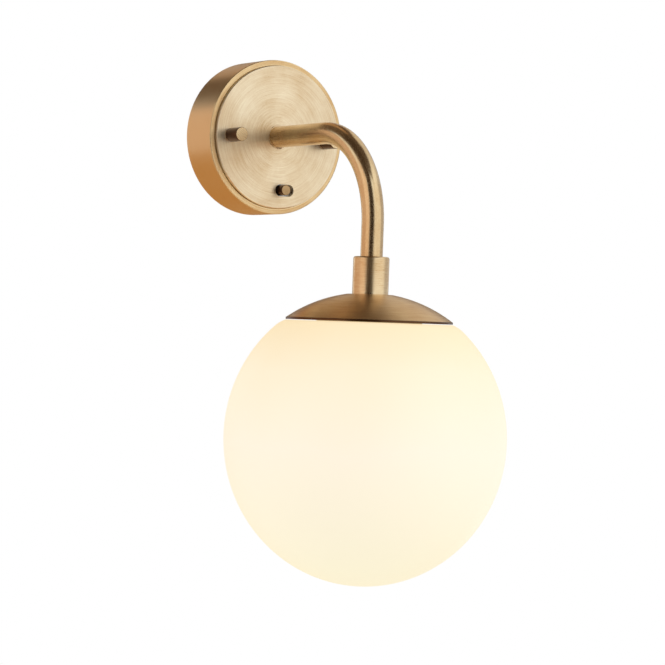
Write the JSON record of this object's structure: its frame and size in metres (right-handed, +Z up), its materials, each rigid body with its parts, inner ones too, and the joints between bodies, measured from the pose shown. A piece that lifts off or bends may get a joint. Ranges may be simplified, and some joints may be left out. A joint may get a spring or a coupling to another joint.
{
  "type": "globe wall sconce",
  "caption": "Wall sconce with a round canopy, slide switch, bent brass tube arm, domed cap and a screw-in opal glass globe.",
  "frame": {"origin": "centre of the canopy on the wall plane", "axes": "+Y into the wall, -Y out towards the room, +Z up, +X to the right for someone facing the light"},
  "size_m": [0.15, 0.2008, 0.2855],
  "materials": {
    "antique_brass_ring": "brushed round the rim, lacquered antique brass",
    "antique_brass_plate": "brushed in circles, lacquered antique brass",
    "antique_brass_tube": "brushed along the tube, lacquered antique brass",
    "antique_brass_collar": "turned, lacquered antique brass",
    "antique_brass_cap": "spun and brushed in circles, lacquered antique brass",
    "antique_brass_nut": "turned, lacquered antique brass",
    "antique_brass_knob": "turned, lacquered antique brass",
    "plain_brass": "machined, bare",
    "zinc_plated_steel": "bright zinc plate",
    "nickel_plated_brass": "nickel plate",
    "opal_glass": "matt opal, mouth blown, lit from inside",
    "frosted_diffuser": "frosted, lit",
    "white_thermoplastic": "moulded",
    "white_nylon": "moulded",
    "clear_nylon": "stamped",
    "black_nylon": "moulded",
    "brown_phenolic": "stamped board",
    "silicone_rubber": "moulded",
    "brown_insulation": "extruded",
    "blue_insulation": "extruded",
    "green_insulation": "extruded"
  },
  "bodies": {
    "fixture": {"arm_collar": "antique_brass_collar", "arm_live_wire": "brown_insulation", "arm_neutral_wire": "blue_insulation", "arm_nipple": "plain_brass", "arm_nut": "plain_brass", "arm_tube": "antique_brass_tube", "arm_washer": "zinc_plated_steel", "block_fixing_screw": "zinc_plated_steel", "bracket_studs": "zinc_plated_steel", "canopy_ring": "antique_brass_ring", "cap": "antique_brass_cap", "earth_screw": "plain_brass", "earth_tag": "plain_brass", "earth_washer": "plain_brass", "earth_wire": "green_insulation", "face_plate": "antique_brass_plate", "gallery": "zinc_plated_steel", "head_nipple": "plain_brass", "head_nut": "plain_brass", "head_washer": "zinc_plated_steel", "lamp_base": "nickel_plated_brass", "lamp_bulb": "frosted_diffuser", "lamp_driver_case": "white_thermoplastic", "lampholder_body": "white_thermoplastic", "lampholder_insert": "white_thermoplastic", "lampholder_shell": "plain_brass", "lampholder_terminals": "plain_brass", "lampholder_tongue": "plain_brass", "stud_lock_nuts": "zinc_plated_steel", "switch_base": "brown_phenolic", "switch_contacts": "plain_brass", "switch_feed_wire": "brown_insulation", "switch_frame": "zinc_plated_steel", "switch_housing": "zinc_plated_steel", "terminal_block": "white_nylon", "terminal_screws": "plain_brass", "wall_bracket": "zinc_plated_steel", "wire_bush": "black_nylon"},
    "switch_slider": {"switch_carriage": "black_nylon", "switch_bridge": "plain_brass", "switch_knob": "antique_brass_knob"},
    "globe_carrier": {"globe_seal": "silicone_rubber"},
    "globe": {"globe": "opal_glass"},
    "left_nut_carrier": {"nut_washer_left": "clear_nylon"},
    "left_nut": {"thumb_nut_left": "antique_brass_nut"},
    "right_nut_carrier": {"nut_washer_right": "clear_nylon"},
    "right_nut": {"thumb_nut_right": "antique_brass_nut"}
  },
  "joints": [
    {"name": "switch_slide", "type": "slide", "parent": "fixture", "child": "switch_slider", "axis": [1, 0, 0], "range_m": [0, 0.004]},
    {"name": "globe_travel", "type": "slide", "parent": "fixture", "child": "globe_carrier", "axis": [0, 0, -1], "range_m": [0, 0.006]},
    {"name": "globe_turn", "type": "hinge", "parent": "globe_carrier", "child": "globe", "pos_m": [0, -0.1258, -0.0982], "axis": [0, 0, -1], "range_deg": [0, 541]},
    {"name": "left_nut_travel", "type": "slide", "parent": "fixture", "child": "left_nut_carrier", "axis": [0, -1, 0], "range_m": [0, 0.0084]},
    {"name": "left_nut_turn", "type": "hinge", "parent": "left_nut_carrier", "child": "left_nut", "pos_m": [-0.031, -0.0323, -0.001], "axis": [0, -1, 0], "range_deg": [0, 4322]},
    {"name": "right_nut_travel", "type": "slide", "parent": "fixture", "child": "right_nut_carrier", "axis": [0, -1, 0], "range_m": [0, 0.0084]},
    {"name": "right_nut_turn", "type": "hinge", "parent": "right_nut_carrier", "child": "right_nut", "pos_m": [0.031, -0.0323, -0.001], "axis": [0, -1, 0], "range_deg": [0, 4322]}
  ],
  "couplings": [
    {"joint": "globe_turn", "follows": "globe_travel", "rad_per_m": 1570.8},
    {"joint": "left_nut_turn", "follows": "left_nut_travel", "rad_per_m": 8976},
    {"joint": "right_nut_turn", "follows": "right_nut_travel", "rad_per_m": 8976}
  ]
}
